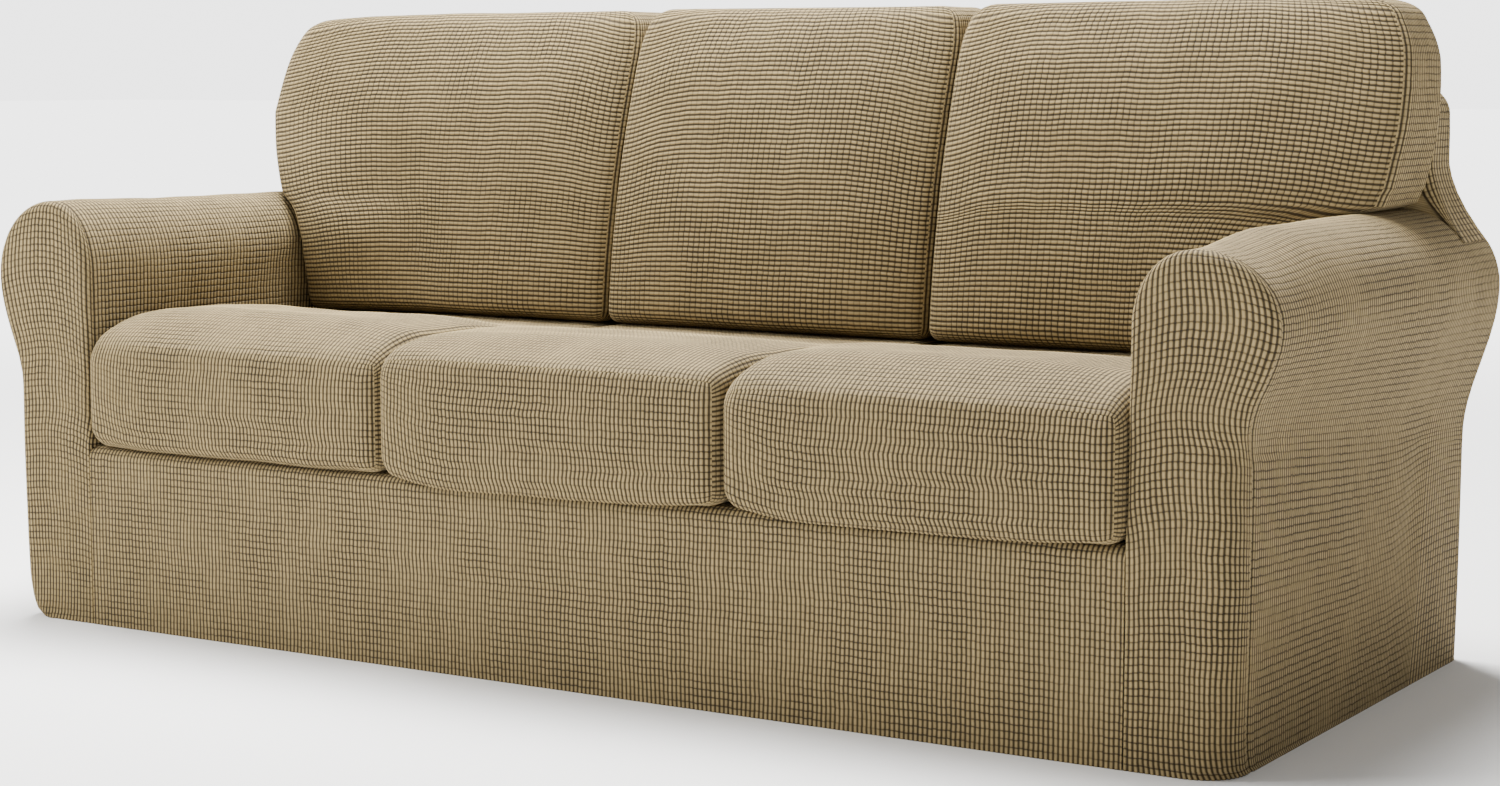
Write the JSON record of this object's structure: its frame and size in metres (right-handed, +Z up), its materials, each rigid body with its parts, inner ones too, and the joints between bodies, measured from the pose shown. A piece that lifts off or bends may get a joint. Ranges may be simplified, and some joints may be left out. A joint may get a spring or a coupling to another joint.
{
  "type": "sofa slipcover",
  "caption": "Fitted stretch slipcover for a long rolled-arm sofa, shown as worn: a hollow body cover with a straight apron, and separate ribbed covers for the seat and back cushions.",
  "frame": {"origin": "on the floor, at the level of the hem, under the middle of the set", "axes": "+X to the right as seen from the front, along the seat; +Y to the back; +Z up"},
  "size_m": [2.166, 0.917, 0.975],
  "materials": {
    "stretch_jacquard": "matt, with raised ribs of small cells"
  },
  "bodies": {
    "root": {"apron": "stretch_jacquard", "arm_front_left": "stretch_jacquard", "arm_front_right": "stretch_jacquard", "arm_sleeve_left": "stretch_jacquard", "arm_sleeve_right": "stretch_jacquard", "seat_deck": "stretch_jacquard", "inside_back": "stretch_jacquard", "back_band": "stretch_jacquard", "back_panel": "stretch_jacquard", "seat_front_1": "stretch_jacquard", "seat_wrap_1": "stretch_jacquard", "seat_front_2": "stretch_jacquard", "seat_wrap_2": "stretch_jacquard", "seat_front_3": "stretch_jacquard", "seat_wrap_3": "stretch_jacquard", "back_front_1": "stretch_jacquard", "back_side_1_left": "stretch_jacquard", "back_side_1_right": "stretch_jacquard", "back_front_2": "stretch_jacquard", "back_side_2_left": "stretch_jacquard", "back_side_2_right": "stretch_jacquard", "back_front_3": "stretch_jacquard", "back_side_3_left": "stretch_jacquard", "back_side_3_right": "stretch_jacquard"}
  },
  "joints": []
}
